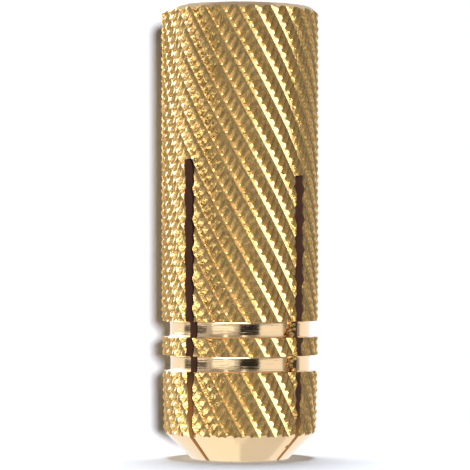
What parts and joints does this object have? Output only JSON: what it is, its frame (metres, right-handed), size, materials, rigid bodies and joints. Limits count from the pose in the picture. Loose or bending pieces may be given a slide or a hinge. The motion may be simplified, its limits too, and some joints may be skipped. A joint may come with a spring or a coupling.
{
  "type": "brass expansion anchor",
  "caption": "Knurled brass sleeve with an internal screw thread, a coned tip, grooves and lengthwise slots, so that its legs spread in a drilled hole.",
  "frame": {"origin": "middle of the tip face, which the anchor stands on", "axes": "+Z along the sleeve's axis from the slotted tip to the open mouth; the slots lie on the diagonals between X and Y"},
  "size_m": [0.01, 0.01, 0.0285],
  "materials": {
    "brass": "bright knurled and turned brass"
  },
  "bodies": {
    "root": {"anchor_sleeve": "brass"}
  },
  "joints": []
}
